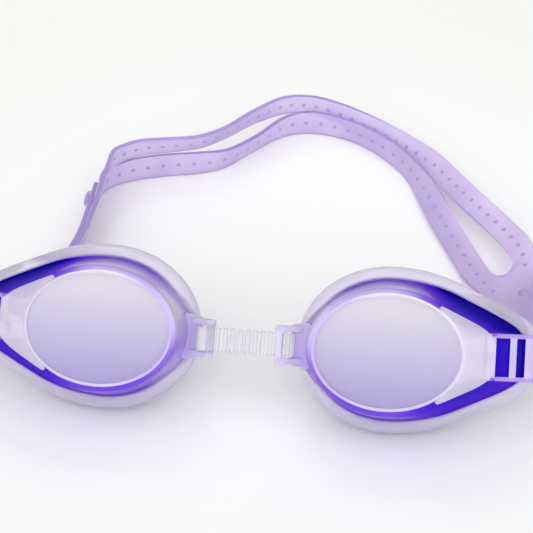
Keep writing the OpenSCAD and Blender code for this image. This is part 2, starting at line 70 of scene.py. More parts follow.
def makeCamera():
    turn, rise = math.radians(cameraView["azimuth"]), math.radians(cameraView["elevation"])
    back = Vector((math.sin(turn) * math.cos(rise), -math.cos(turn) * math.cos(rise), math.sin(rise)))
    aim = Vector(cameraView["aim"]) + Vector(pose["shift"])
    cameraData = bpy.data.cameras.new("camera")
    cameraData.lens = cameraView["lens"]
    cameraData.sensor_width = 36.0
    cameraData.clip_start, cameraData.clip_end = 0.01, 20.0
    camera = bpy.data.objects.new("camera", cameraData)
    camera.location = (aim + back * cameraView["distance"]) * millimetre
    camera.rotation_mode = "QUATERNION"
    camera.rotation_quaternion = (-back).to_track_quat("-Z", "Y")
    bpy.context.scene.collection.objects.link(camera)
    bpy.context.scene.camera = camera


makeCamera()
print("camera made")


def linearColour(hexColour):
    channels = [int(hexColour[i:i + 2], 16) / 255 for i in (1, 3, 5)]
    return [c / 12.92 if c <= 0.04045 else ((c + 0.055) / 1.055) ** 2.4 for c in channels] + [1.0]


def addNode(tree, kind, settings=None, links=None, stops=None):
    # stops are the positions and colours of a colour ramp, from its first to its last
    node = tree.nodes.new(kind)
    for name, value in (settings or {}).items():
        if name in node.inputs:
            node.inputs[name].default_value = value
        else:
            setattr(node, name, value)
    for name, source in (links or {}).items():
        tree.links.new(source, node.inputs[name])
    if stops:
        first, last = node.color_ramp.elements
        first.position, first.color = stops[0]
        last.position, last.color = stops[-1]
        for position, colour in stops[1:-1]:
            node.color_ramp.elements.new(position).color = colour
    return node


def newMaterial(name, settings, links=None):
    material = bpy.data.materials.new(name)
    material.use_nodes = True
    tree = material.node_tree
    tree.nodes.clear()
    output = addNode(tree, "ShaderNodeOutputMaterial")
    links = links(tree) if links else {}
    shader = addNode(tree, "ShaderNodeBsdfPrincipled", settings, links)
    tree.links.new(shader.outputs["BSDF"], output.inputs["Surface"])
    return material


def objectPoint(tree):
    # object coordinates in millimetres
    place = addNode(tree, "ShaderNodeTexCoord")
    return addNode(tree, "ShaderNodeMapping", {"Scale": [1000.0] * 3},
                   {"Vector": place.outputs["Object"]}).outputs["Vector"]


def fineBump(tree, grain, strength, depth):
    # grain and depth in millimetres
    noise = addNode(tree, "ShaderNodeTexNoise", {"Scale": 1.0 / grain, "Detail": 3.0, "Roughness": 0.6},
                    {"Vector": objectPoint(tree)})
    bump = addNode(tree, "ShaderNodeBump", {"Strength": strength, "Distance": depth * millimetre},
                   {"Height": noise.outputs["Fac"]})
    return {"Normal": bump.outputs["Normal"]}


# stops by depth and painted shade: the colour painted for each, deep for walls in shade and pale for edges
# that catch light, and the share of the light that passes
depthAndShadeTones = ((0.0, "#fbf8ff"), (0.12, "#efe7fd"), (0.3, "#cfbaff"), (0.55, "#8059d6"), (0.8, "#5622ce"),
            (0.94, "#2404b8"), (1.0, "#0e0096"))
depthAndShadePassing = ((0.0, 0.92), (0.12, 0.5), (0.4, 0.3), (0.7, 0.08), (1.0, 0.1))


def depthAndShadePlastic(tree):
    # the depth and painted shade of each face corner runs from 0, a thin polished sheet, to 1, a wall seen
    # end-on and painted deep navy as if in shade
    depthAndShade = addNode(tree, "ShaderNodeAttribute", {"attribute_name": "depthAndShade"}).outputs["Fac"]
    tone = addNode(tree, "ShaderNodeValToRGB", links={"Fac": depthAndShade},
                   stops=[(position, linearColour(colour)) for position, colour in depthAndShadeTones])
    grain = addNode(tree, "ShaderNodeMapRange", {"To Min": 0.06, "To Max": 0.2}, {"Value": depthAndShade})
    # light caught between the faces of a wall hides most of its surface glare
    glare = addNode(tree, "ShaderNodeMapRange", {"From Max": 0.7, "To Min": 0.5, "To Max": 0.0},
                    {"Value": depthAndShade})
    passing = addNode(tree, "ShaderNodeValToRGB", links={"Fac": depthAndShade},
                      stops=[(position, (share, share, share, 1.0)) for position, share in depthAndShadePassing])
    return {"Base Color": tone.outputs["Color"], "Roughness": grain.outputs["Result"],
            "Specular IOR Level": glare.outputs["Result"], "Transmission Weight": passing.outputs["Color"]}


# Injection-moulded polycarbonate, dyed violet in the mass: the thin polished lens and window look almost
# clear, and the drafted walls, seen along their length, look deep violet.
# Light and shade are painted into its colour face by face: deeper on walls and recesses in shade, paler where
# an edge catches light.
tintedPolycarbonate = newMaterial("tinted polycarbonate", {"IOR": 1.58}, links=depthAndShadePlastic)


def sealShadeTone(tree):
    # painted shade: the "edge" of each vertex is 1 on the outer flank, where the eye looks along the skin,
    # and there the seal is painted a darker violet-grey
    edge = addNode(tree, "ShaderNodeAttribute", {"attribute_name": "edge"})
    tone = addNode(tree, "ShaderNodeValToRGB", links={"Fac": edge.outputs["Fac"]},
                   stops=[(0.0, linearColour("#f4efff")), (1.0, linearColour("#a797d6"))])
    return {"Base Color": tone.outputs["Color"]}


# Clear soft silicone of the face seals: slightly hazy, with a polished skin from the mould, and painted shade
# on its outer flank.
clearSilicone = newMaterial(
    "clear seal silicone", {"Roughness": 0.03, "IOR": 1.41, "Transmission Weight": 0.72}, links=sealShadeTone)

# Clear flexible strip, moulded polyurethane: faintly milky.
clearUrethane = newMaterial(
    "clear polyurethane",
    {"Base Color": linearColour("#f4f4f8"), "Roughness": 0.16, "IOR": 1.5, "Transmission Weight": 0.8})


def strapTone(tree):
    # the pigment is not quite even along the moulding, in clouds of about 9 mm
    noise = addNode(tree, "ShaderNodeTexNoise", {"Scale": 1.0 / 9.0, "Detail": 2.0},
                    {"Vector": objectPoint(tree)})
    tone = addNode(tree, "ShaderNodeValToRGB", links={"Fac": noise.outputs["Fac"]},
                   stops=[(0.35, linearColour("#e6d4ff")), (0.65, linearColour("#eedfff"))])
    return {"Base Color": tone.outputs["Color"], **fineBump(tree, 0.35, 0.10, 0.03)}


# Pigmented translucent silicone of the strap: light goes through it blurred, so that two
# layers look darker than one, and the skin is matt.
strapSilicone = newMaterial(
    "lavender strap silicone", {"Roughness": 0.3, "IOR": 1.41, "Transmission Weight": 0.6}, links=strapTone)

# The same silicone in the small studs, deeper in tone because it is thicker there.
studSilicone = newMaterial(
    "stud silicone",
    {"Base Color": linearColour("#d0bff6"), "Roughness": 0.35, "IOR": 1.41, "Transmission Weight": 0.5})

# And along the borders, where the sheet is seen through its width.
edgeSilicone = newMaterial(
    "strap edge silicone",
    {"Base Color": linearColour("#bda8ea"), "Roughness": 0.3, "IOR": 1.41, "Transmission Weight": 0.4})

filmFade = {"low": 19.0, "high": 37.0}  # heights over the table, in millimetres


def filmShadeColours(tree):
    # painted light and shade: the film is painted darker and more violet towards the bottom of the cup, where
    # violet light from the walls gathers
    place = addNode(tree, "ShaderNodeSeparateXYZ", links={"Vector": objectPoint(tree)})
    height = addNode(tree, "ShaderNodeMapRange", {"From Min": filmFade["low"], "From Max": filmFade["high"]},
                     {"Value": place.outputs["Z"]})
    tone = addNode(tree, "ShaderNodeValToRGB", links={"Fac": height.outputs["Result"]},
                   stops=[(0.0, linearColour("#a593ea")), (1.0, linearColour("#fbfaff"))])
    return {"Base Color": tone.outputs["Color"]}


# Thin polyethylene film, frosted: it scatters what passes and hides the hollow behind it.
frostedFilm = newMaterial("frosted polyethylene film", {"Roughness": 0.6, "IOR": 1.3}, links=filmShadeColours)
print("materials made")


def newPiece(name, bm, materials, smoothAngle=35.0):
    mesh = bpy.data.meshes.new(name)
    bm.to_mesh(mesh)
    bm.free()
    for material in materials:
        mesh.materials.append(material)
    piece = bpy.data.objects.new(name, mesh)
    bpy.context.scene.collection.objects.link(piece)
    shadeSmooth(mesh, smoothAngle)
    return piece


def shadeSmooth(mesh, smoothAngle):
    for polygon in mesh.polygons:
        polygon.use_smooth = True
    mesh.set_sharp_from_angle(angle=math.radians(smoothAngle))


def bakeModifiers(piece, smoothAngle=35.0):
    # what the modifiers make becomes the piece's own mesh
    graph = bpy.context.evaluated_depsgraph_get()
    mesh = bpy.data.meshes.new_from_object(piece.evaluated_get(graph), preserve_all_data_layers=True,
                                           depsgraph=graph)
    mesh.name = piece.name
    piece.modifiers.clear()
    piece.data = mesh
    shadeSmooth(mesh, smoothAngle)


def unitePieces(main, others, smoothAngle=35.0):
    for other in others:
        union = main.modifiers.new("union", "BOOLEAN")
        union.operation, union.solver, union.object = "UNION", "EXACT", other
        bpy.context.view_layer.update()
        bakeModifiers(main, smoothAngle)
        bpy.data.objects.remove(other, do_unlink=True)


def loft(bm, rings):
    # a circle takes the first ring's points, and each further ring is extruded from the one before
    count = len(rings[0])
    mark = bm.verts.layers.int.get("station") or bm.verts.layers.int.new("station")
    verts = bmesh.ops.create_circle(bm, cap_ends=False, segments=count, radius=1.0)["verts"]
    for index, vert in enumerate(verts):
        vert[mark] = index
        vert.co = rings[0][index]
    loops = [list({edge for vert in verts for edge in vert.link_edges})]
    for ring in rings[1:]:
        grown = bmesh.ops.extrude_edge_only(bm, edges=loops[-1])["geom"]
        new = {element for element in grown if isinstance(element, bmesh.types.BMVert)}
        for vert in new:
            vert.co = ring[vert[mark]]
        loops.append([element for element in grown if isinstance(element, bmesh.types.BMEdge)
                      and element.verts[0] in new and element.verts[1] in new])
    return loops


def closeEnds(bm, loops):
    for loop in (loops[0], loops[-1]):
        bmesh.ops.contextual_create(bm, geom=loop)


def softenEdges(bm, edges, width, segments):
    bmesh.ops.bevel(bm, geom=edges, offset=width, offset_type="OFFSET", segments=segments,
                    profile=0.5, affect="EDGES", clamp_overlap=True, material=-1)


def softenCorners(bm, width, segments, angle):
    sharp = [edge for edge in bm.edges if edge.is_manifold and edge.calc_face_angle() > math.radians(angle)]
    softenEdges(bm, sharp, width, segments)


def addBlock(bm, low, high):
    middle = [(a + b) / 2 for a, b in zip(low, high)]
    size = [b - a for a, b in zip(low, high)]
    matrix = Matrix.Translation(middle) @ Matrix.Diagonal((*size, 1.0))
    bmesh.ops.create_cube(bm, size=1.0, matrix=matrix)


def addPrism(bm, corners, along):
    # a flat face through the corners, extruded
    face = bmesh.ops.contextual_create(bm, geom=[bm.verts.new(corner) for corner in corners])["faces"][0]
    grown = bmesh.ops.extrude_face_region(bm, geom=[face])["geom"]
    verts = [element for element in grown if isinstance(element, bmesh.types.BMVert)]
    bmesh.ops.translate(bm, vec=along, verts=verts)


def pointOutwards(bm):
    bmesh.ops.recalc_face_normals(bm, faces=bm.faces)


def frontMatrix():
    # from the upright front of the goggles, in millimetres, to the table, in metres
    return (Matrix.Scale(millimetre, 4) @ Matrix.Translation(pose["shift"])
            @ Matrix.Translation((0.0, 0.0, pose["standHeight"]))
            @ Matrix.Rotation(math.radians(90.0 - pose["lean"]), 4, "X"))


def placeMatrix(side):
    # from a cup's own frame; side is -1 for the left cup
    return (frontMatrix() @ Matrix.Diagonal((float(side), 1.0, 1.0, 1.0))
            @ Matrix.Translation((pose["spacing"] / 2, 0.0, 0.0))
            @ Matrix.Rotation(math.radians(pose["cant"]), 4, "Z"))


def placePiece(piece, matrix):
    piece.data.transform(matrix)
    if matrix.determinant() < 0:
        piece.data.flip_normals()
    piece.data.update()


# a cup's own frame: x to the temple, y up and z to the front, from the rim under the lens centre
cup = {
    "lensWidth": 38.8, "lensHeight": 30.0, "lensThickness": 2.0, "bevelWidth": 1.1, "lip": 0.8,
    "windowAngle": 22.8, "windowStart": 15.0, "windowRun": 7.8, "windowEndHeight": 12.0,
    "depth": 15.0, "rimHeight": 38.0, "rimTemple": 36.0, "rimTempleAxis": 30.0, "rimTempleHeight": 6.8,
    "rimNoseAxis": 21.5, "rimNose": 23.2, "rimNoseHeight": 5.8,
    "rimThickness": 1.6, "rimStep": 1.1, "wall": 1.8, "rimBow": 4.0,
    "cornerPower": 14.0, "stations": 192,
}
frontEnd = cup["lensWidth"] / 2 + cup["windowRun"]
# temple axis, nose axis, half height, temple end and its half height, nose end and its half height
flatOval = (cup["lensWidth"] / 2, cup["lensWidth"] / 2, cup["lensHeight"] / 2, 0.0, 0.0, 0.0, 0.0)
frontOutline = (cup["lensWidth"] / 2 + cup["bevelWidth"], cup["lensWidth"] / 2 + cup["bevelWidth"],
                cup["lensHeight"] / 2 + cup["bevelWidth"], frontEnd, cup["windowEndHeight"] / 2, 0.0, 0.0)
rimOutline = (cup["rimTempleAxis"], cup["rimNoseAxis"], cup["rimHeight"] / 2, cup["rimTemple"],
              cup["rimTempleHeight"], cup["rimNose"], cup["rimNoseHeight"])


def ellipseReach(angle, long, high):
    return long * high / math.hypot(high * math.cos(angle), long * math.sin(angle))


def sideReach(angle, long, high, end, endHeight):
    # an ellipse that runs out along its tangent to a straight end
    if endHeight == 0.0:
        return ellipseReach(angle, long, high)
    touch = (math.atan2(endHeight / high, end / long)
             + math.acos(1.0 / math.hypot(end / long, endHeight / high)))
    if math.atan2(long * math.sin(angle), high * math.cos(angle)) >= touch:
        return ellipseReach(angle, long, high)
    line = 1.0 / (math.cos(angle) * math.cos(touch) / long + math.sin(angle) * math.sin(touch) / high)
    cut = end / math.cos(angle)
    power = cup["cornerPower"]
    return (line ** -power + cut ** -power) ** (-1.0 / power)


def outlineReach(outline, angle):
    angle = abs(angle - 2 * math.pi if angle > math.pi else angle)
    if angle <= math.pi / 2:
        return sideReach(angle, outline[0], outline[2], outline[3], outline[4])
    return sideReach(math.pi - angle, outline[1], outline[2], outline[5], outline[6])


def rimDepth(x):
    return -cup["rimBow"] * (x / cup["rimTemple"]) ** 2 if x > 0 else -(x / cup["rimNose"]) ** 2


def frontDepth(x):
    return cup["depth"] - max(0.0, x - cup["windowStart"]) * math.tan(math.radians(cup["windowAngle"]))


def outlineRing(outline, inset, base, lift, stations=None):
    # base says what the height is counted from: the rim, the front or a plane
    count = stations or cup["stations"]
    ring = []
    for station in range(count):
        turn = 2 * math.pi * station / count
        angle = turn - 0.4 * math.sin(2 * turn) / 2
        reach = outlineReach(outline, angle) - inset
        x = reach * math.cos(angle)
        start = rimDepth(x) if base == "rim" else frontDepth(x) if base == "front" else 0.0
        ring.append(Vector((x, reach * math.sin(angle), start + lift)))
    return ring


buckle = {"thickness": 3.0, "rail": 1.1, "solid": 5.9, "blindSlot": 2.4, "bar": 2.4, "strapSlot": 6.1,
          "post": 2.5, "drop": 0.5, "grooveFrom": 0.6, "grooveLength": 3.3, "grooveDepth": 1.0, "floor": 1.0,
          "root": 2.4, "rootTaper": 0.85, "edge": 0.22, "hollowDraft": 0.15}
noseLoop = {"reach": 29.3, "bar": 1.8, "slot": 2.2, "thickness": 1.6, "plateHeight": 2.0,
            "slotHeight": 6.8, "barHeight": 5.6, "rail": 1.7, "flare": 1.0, "edge": 0.25}
postReach = buckle["solid"] + buckle["blindSlot"] + buckle["bar"] + buckle["strapSlot"] + buckle["post"] / 2


def makeShell(name):
    inset = cup["rimStep"] + cup["wall"]
    rings = [
        outlineRing(flatOval, 0.15, "plane", cup["depth"] - cup["lensThickness"]),
        outlineRing(frontOutline, cup["wall"] - 0.4, "front", -cup["lensThickness"] - 1.0),
        outlineRing(rimOutline, inset, "rim", cup["rimThickness"] + 0.4),
        outlineRing(rimOutline, inset, "rim", 0.0),
        outlineRing(rimOutline, 0.0, "rim", 0.0),
        outlineRing(rimOutline, 0.0, "rim", cup["rimThickness"]),
        outlineRing(rimOutline, cup["rimStep"], "rim", cup["rimThickness"] + 0.4),
        outlineRing(frontOutline, -0.2, "front", -1.2),
        outlineRing(frontOutline, 0.2, "front", -0.4),
        outlineRing(flatOval, 0.0, "plane", cup["depth"]),
        outlineRing(flatOval, cup["lip"], "plane", cup["depth"])]
    bm = bmesh.new()
    loops = loft(bm, rings)
    closeEnds(bm, loops)
    pointOutwards(bm)
    for index, width in ((3, 0.25), (4, 0.35), (5, 0.35), (6, 0.3), (7, 0.25), (9, 0.18)):
        softenEdges(bm, [edge for edge in loops[index] if edge.is_valid], width, 2)
    return newPiece(name, bm, [tintedPolycarbonate])


def makeBuckle(name):
    # a grid with the slots left out, thickened, with a shallow groove next to the window
    half = cup["windowEndHeight"] / 2
    slotHalf = half - buckle["rail"]
    slotStart = buckle["solid"] + buckle["blindSlot"] + buckle["bar"]
    columns = [-buckle["root"], 0.0, buckle["grooveFrom"], buckle["grooveFrom"] + buckle["grooveLength"],
               buckle["solid"], buckle["solid"] + buckle["blindSlot"], slotStart, postReach]
    rows = [-half, -slotHalf, slotHalf, half]
    bm = bmesh.new()
    grid = bmesh.ops.create_grid(bm, x_segments=len(columns) - 1, y_segments=len(rows) - 1, size=1.0)["verts"]
    for vert in grid:
        column = round((vert.co.x + 1.0) / 2.0 * (len(columns) - 1))
        row = round((vert.co.y + 1.0) / 2.0 * (len(rows) - 1))
        vert.co = (columns[column], rows[row] * (buckle["rootTaper"] if column == 0 else 1.0), 0.0)
    slot = [face for face in bm.faces if abs(face.calc_center_median().y) < slotHalf
            and face.calc_center_median().x > slotStart]
    bmesh.ops.delete(bm, geom=slot, context="FACES")
    grown = bmesh.ops.extrude_face_region(bm, geom=bm.faces[:])["geom"]
    bmesh.ops.translate(bm, vec=(0.0, 0.0, -buckle["thickness"]),
                        verts=[element for element in grown if isinstance(element, bmesh.types.BMVert)])
    pointOutwards(bm)
    for start, length, depth in (
            (buckle["grooveFrom"], buckle["grooveLength"], buckle["grooveDepth"]),
            (buckle["solid"], buckle["blindSlot"], buckle["thickness"] - buckle["floor"])):
        hollow = [face for face in bm.faces if face.normal.z > 0.9
                  and abs(face.calc_center_median().y) < slotHalf
                  and start < face.calc_center_median().x < start + length]
        bmesh.ops.inset_region(bm, faces=hollow, thickness=buckle["hollowDraft"], depth=-depth)
    softenCorners(bm, buckle["edge"], 2, 40.0)
    plate = newPiece(name, bm, [tintedPolycarbonate])
    parts = []
    for label, radius, low, high in (("post", buckle["post"] / 2, -slotHalf - 0.5, slotHalf + 0.5),
                                     ("end", buckle["thickness"] / 2, slotHalf + 0.02, half - 0.02),
                                     ("end", buckle["thickness"] / 2, -half + 0.02, -slotHalf - 0.02)):
        bm = bmesh.new()
        matrix = (Matrix.Translation((postReach, (low + high) / 2, -buckle["thickness"] / 2))
                  @ Matrix.Rotation(math.pi / 2, 4, "X"))
        bmesh.ops.create_cone(bm, cap_ends=True, segments=40, radius1=radius, radius2=radius,
                              depth=high - low, matrix=matrix)
        if label == "end":
            softenCorners(bm, 0.2, 2, 60.0)
        parts.append(newPiece(label, bm, [tintedPolycarbonate]))
    unitePieces(plate, parts)
    window = frontDepth(frontEnd) - buckle["drop"]
    plate.data.transform(Matrix.Translation((frontEnd, 0.0, window))
                         @ Matrix.Rotation(math.radians(cup["windowAngle"]), 4, "Y"))
    return plate


def makeNoseLoop():
    # a plate at the wall, two rising rails and a raised bar, so that the flat strip passes through
    slotNose = noseLoop["reach"] - noseLoop["bar"]
    slotCup = slotNose - noseLoop["slot"]
    tip = noseLoop["slotHeight"] / 2 + noseLoop["rail"]
    root = tip + noseLoop["flare"]
    low, high = noseLoop["plateHeight"], noseLoop["barHeight"]
    thick = noseLoop["thickness"]
    wall = -cup["rimNose"]
    parts = []
    bm = bmesh.new()
    addPrism(bm, [(wall + 2.6, root, low), (-slotCup, root - 0.7, low), (-slotCup, 0.7 - root, low),
                  (wall + 2.6, -root, low)], (0.0, 0.0, thick))
    pointOutwards(bm)
    softenCorners(bm, noseLoop["edge"], 2, 40.0)
    parts.append(newPiece("plate", bm, [tintedPolycarbonate]))
    for side in (-1.0, 1.0):
        bm = bmesh.new()
        inner, outer = side * noseLoop["slotHeight"] / 2, side * tip
        profile = ((wall + 1.0, low), (-slotCup, low), (-noseLoop["reach"], high),
                   (-noseLoop["reach"], high + thick), (-slotNose + 0.3, high + thick),
                   (-slotCup + 1.4, low + thick), (wall + 1.0, low + thick))
        addPrism(bm, [(x, inner, z) for x, z in profile], (0.0, outer - inner, 0.0))
        pointOutwards(bm)
        softenCorners(bm, noseLoop["edge"], 2, 30.0)
        parts.append(newPiece("rail", bm, [tintedPolycarbonate]))
    bm = bmesh.new()
    # a hair inside the rails, so that no two faces lie in one plane
    addBlock(bm, (-noseLoop["reach"] + 0.01, -tip + 0.01, high + 0.01),
             (-slotNose, tip - 0.01, high + thick - 0.01))
    softenCorners(bm, 0.3, 3, 40.0)
    parts.append(newPiece("bar", bm, [tintedPolycarbonate]))
    return parts


# how deep the plastic looks at each place, from 0 to 1, with painted shade and highlight in it: walls and
# recesses in shade deeper, edges that catch light paler; the last two rows are for the walls
depthAndShadeLevels = {"sheet": 0.0, "lip": 0.1, "noseLip": 0.3, "window": 0.12, "end": 0.1, "loop": 0.15, "plate": 0.2,
            "under": 0.1, "groove": 0.93, "slot": 0.96, "rail": 0.4,
            "upperRim": 0.54, "upperFront": 0.3, "lowerRim": 0.56, "lowerFront": 0.68,
            "nose": -0.3, "temple": 0.26, "upperTemple": 0.3, "inner": 0.85, "behind": 0.85}
# millimetres from the lens axis, or from the front, between which a painted tone comes in
depthAndShadeFade = {"temple": (0.0, 18.0), "up": (-5.0, 5.0), "nose": (10.0, 19.0), "noseLip": (0.0, 14.0),
           "behind": (21.0, 25.0), "behindHeight": (4.5, 6.5), "inner": (-7.0, -3.0)}


def smoothStep(value, low, high):
    t = min(1.0, max(0.0, (value - low) / (high - low)))
    return t * t * (3.0 - 2.0 * t)


def depthAndShadeOfWall(point):
    # painted shade: deeper towards the front edge and the temple, palest at the nose, with the upper and
    # lower walls painted to different depths
    rise = smoothStep(point.z, rimDepth(point.x), frontDepth(point.x))
    up = smoothStep(point.y, *depthAndShadeFade["up"])
    upper = depthAndShadeLevels["upperRim"] + (depthAndShadeLevels["upperFront"] - depthAndShadeLevels["upperRim"]) * rise
    lower = depthAndShadeLevels["lowerRim"] + (depthAndShadeLevels["lowerFront"] - depthAndShadeLevels["lowerRim"]) * rise
    nose = depthAndShadeLevels["nose"] * (1.0 - 0.5 * rise) * smoothStep(-point.x, *depthAndShadeFade["nose"])
    temple = (depthAndShadeLevels["temple"] + depthAndShadeLevels["upperTemple"] * up) * smoothStep(point.x, *depthAndShadeFade["temple"])
    # the end behind the buckle is painted clear
    behind = (smoothStep(point.x, *depthAndShadeFade["behind"])
              * (1.0 - smoothStep(abs(point.y), *depthAndShadeFade["behindHeight"])))
    return (lower + (upper - lower) * up + nose + temple) * (1.0 - depthAndShadeLevels["behind"] * behind)


def depthAndShadeOfBuckle(point):
    # painted shade: the groove and the blind slot are painted deep navy, as shade in a recess, with the rails
    # and plate paler
    bend = math.radians(cup["windowAngle"])
    x, z = point.x - frontEnd, point.z - (frontDepth(frontEnd) - buckle["drop"])
    along, height = x * math.cos(bend) - z * math.sin(bend), x * math.sin(bend) + z * math.cos(bend)
    if height < -buckle["thickness"] + 0.3:
        return depthAndShadeLevels["under"]
    if abs(point.y) > cup["windowEndHeight"] / 2 - buckle["rail"]:
        return depthAndShadeLevels["rail"]
    if along < buckle["grooveFrom"] + buckle["grooveLength"] + 0.1:
        return depthAndShadeLevels["groove"]
    if buckle["solid"] - 0.1 < along < buckle["solid"] + buckle["blindSlot"] + 0.1 and height < -0.3:
        return depthAndShadeLevels["slot"]
    return depthAndShadeLevels["plate"]


def depthAndShadeOfFront(point, normal):
    # the lens, the side window and their inner faces
    angle = math.atan2(point.y, point.x) % (2 * math.pi)
    reach, lens = math.hypot(point.x, point.y), outlineReach(flatOval, angle)
    if point.z < frontDepth(point.x) - cup["lensThickness"] - 1.1 or abs(normal.z) < 0.7:
        return None
    if reach < lens - cup["lip"] or (reach < lens and point.z < cup["depth"] - cup["lensThickness"] / 2):
        return depthAndShadeLevels["sheet"]
    if reach < lens + 0.05:
        # painted highlight: the edge of the lens is painted pale as if it catches light, more violet towards
        # the nose
        nose = smoothStep(-point.x, *depthAndShadeFade["noseLip"])
        return depthAndShadeLevels["lip"] + (depthAndShadeLevels["noseLip"] - depthAndShadeLevels["lip"]) * nose
    return depthAndShadeLevels["window"] if point.x > 13.0 and reach < outlineReach(frontOutline, angle) else None


def depthAndShadeOfFace(centre, normal):
    # one painted depth and shade for a whole face, or None where it changes along the wall
    half = cup["windowEndHeight"] / 2
    if centre.x > frontEnd + 0.05 and centre.z > 4.0 and abs(centre.y) < half + 0.05:
        return depthAndShadeOfBuckle(centre)
    if centre.x < -cup["rimNose"] + 0.6 and centre.z > 1.7:
        return depthAndShadeLevels["loop"]
    front = depthAndShadeOfFront(centre, normal)
    if front is None and centre.x > 20.0 and abs(normal.x) > 0.75 and abs(centre.y) < half:
        return depthAndShadeLevels["end"]
    return front


def paintDepthAndShade(mesh):
    # the mesh is still in the cup's own frame, in millimetres
    depthAndShade = mesh.attributes.new("depthAndShade", "FLOAT", "CORNER")
    for polygon in mesh.polygons:
        centre, normal = polygon.center, polygon.normal
        fixed = depthAndShadeOfFace(centre, normal)
        inwards = centre.x * normal.x + centre.y * normal.y < 0
        for corner in polygon.loop_indices:
            point = mesh.vertices[mesh.loops[corner].vertex_index].co
            # painted light: faces that look inwards are painted paler towards the front
            paler = 0.0
            if inwards:
                paler = depthAndShadeLevels["inner"] * smoothStep(point.z - frontDepth(point.x), *depthAndShadeFade["inner"])
            depthAndShade.data[corner].value = depthAndShadeOfWall(point) * (1.0 - paler) if fixed is None else fixed


def makeEyecup(side, name, body):
    shell = makeShell(name)
    unitePieces(shell, [makeBuckle("buckle"), *makeNoseLoop()], 32.0)
    paintDepthAndShade(shell.data)
    placePiece(shell, placeMatrix(side))
    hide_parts(name)
    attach(shell, body)


for side, name in ((-1, "left"), (1, "right")):
    makeEyecup(side, name + "_eyecup", name + "_cup")
print("eyecups made")


seal = {"out": 2.8, "back": 7.8, "lip": 5.0, "gap": 0.1, "stations": 96}
sealOutline = (cup["rimTempleAxis"] + 2.0, cup["rimNose"] + 1.4, cup["rimHeight"] / 2 + seal["out"],
               cup["rimTemple"] + 3.0, cup["rimTempleHeight"] + 1.7, 0.0, 0.0)


def sealFlankShade(point):
    # 1 on the outer flank, where the painted shade goes, 0 on the faces that look at the viewer
    outer = outlineReach(sealOutline, math.atan2(point.y, point.x) % (2 * math.pi))
    return (smoothStep(math.hypot(point.x, point.y), outer - 1.6, outer - 0.4)
            * smoothStep(rimDepth(point.x) - point.z, -0.6, 1.4))


def makeSeal(side, name, body):
    inset, gap, thick = cup["rimStep"] + cup["wall"], seal["gap"], cup["rimThickness"]
    back, lip = seal["back"], seal["lip"]
    # from the front round the outside, over the soft lip and into the groove that takes the rim:
    # outline, inset from it and height over the rim
    section = (
        (rimOutline, -1.2, thick + 0.6), (sealOutline, 0.4, 0.7), (sealOutline, -0.1, -0.8),
        (sealOutline, 0.3, -back * 0.7), (sealOutline, 1.5, -back * 0.98),
        (sealOutline, lip * 0.6, -back * 1.02), (sealOutline, lip * 0.95, -back * 0.9),
        (sealOutline, lip + 0.1, -back * 0.6),
        (rimOutline, inset + 0.3, -1.2), (rimOutline, inset, -gap), (rimOutline, -gap, -gap),
        (rimOutline, -gap, thick + gap), (rimOutline, cup["rimStep"] * 0.5, thick + 0.2 + gap),
        (rimOutline, cup["rimStep"] * 0.4, thick + 0.9))
    rings = [outlineRing(outline, inward, "rim", lift, seal["stations"]) for outline, inward, lift in section]
    bm = bmesh.new()
    crease = bm.edges.layers.float.new("crease_edge")
    loops = loft(bm, rings)
    bmesh.ops.bridge_loops(bm, edges=loops[0] + loops[-1])
    pointOutwards(bm)
    for loop in loops[9:13]:  # the groove keeps its corners
        for edge in loop:
            edge[crease] = 1.0
    piece = newPiece(name, bm, [clearSilicone], 60.0)
    rounding = piece.modifiers.new("rounding", "SUBSURF")
    rounding.levels = rounding.render_levels = 2
    bakeModifiers(piece, 60.0)
    edge = piece.data.attributes.new("edge", "FLOAT", "POINT")
    for vertex in piece.data.vertices:
        edge.data[vertex.index].value = sealFlankShade(vertex.co)
    placePiece(piece, placeMatrix(side))
    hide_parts(name)
    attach(piece, body)


for side, name in ((-1, "left"), (1, "right")):
    makeSeal(side, name + "_gasket", name + "_cup")
print("face seals made")


film = {"inset": 0.4, "thickness": 0.3, "gap": 0.2, "stations": 128}


def makeFilm(side, name):
    front = cup["depth"] - cup["lensThickness"] - film["gap"]
    bm = bmesh.new()
    loops = loft(bm, [outlineRing(flatOval, film["inset"], "plane", height, film["stations"])
                      for height in (front - film["thickness"], front)])
    closeEnds(bm, loops)
    pointOutwards(bm)
    piece = newPiece(name, bm, [frostedFilm])
    placePiece(piece, placeMatrix(side))
    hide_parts(name)
    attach(piece, name)


for side, name in ((-1, "left_film"), (1, "right_film")):
    makeFilm(side, name)
print("films made")


strip = {"width": 6.4, "thickness": 1.3, "ribPitch": 1.9, "ribWidth": 0.85, "core": 0.9, "coreWidth": 5.8,
         "frontHeight": 8.05, "backHeight": 4.6, "flat": 2.4, "bend": 3.2, "bendHeight": 0.6, "sections": 24,
         "hookHalf": 2.9, "hookBase": 4.1, "hookUp": (1.5, 7.8), "hookAlong": (2.9, 5.3), "edge": 0.25,
         "squareness": 5.0}
barReach = pose["spacing"] / 2 - noseLoop["reach"]
slotFar = pose["spacing"] / 2 - (noseLoop["reach"] - noseLoop["bar"] - noseLoop["slot"])
stripStart, stripEnd = -slotFar - 0.4, slotFar + 0.9
stripLine = [(stripStart, strip["frontHeight"]), (-barReach, strip["frontHeight"]),
             (-barReach + strip["bend"], strip["frontHeight"] - strip["bendHeight"]),
             (barReach - strip["flat"] - strip["bend"], strip["backHeight"] + strip["bendHeight"]),
             (barReach - strip["flat"], strip["backHeight"]), (stripEnd, strip["backHeight"])]


def stripHeight(x):
    for (xa, za), (xb, zb) in zip(stripLine, stripLine[1:]):
        if x <= xb:
            return za + (zb - za) * (x - xa) / (xb - xa)
    return stripLine[-1][1]


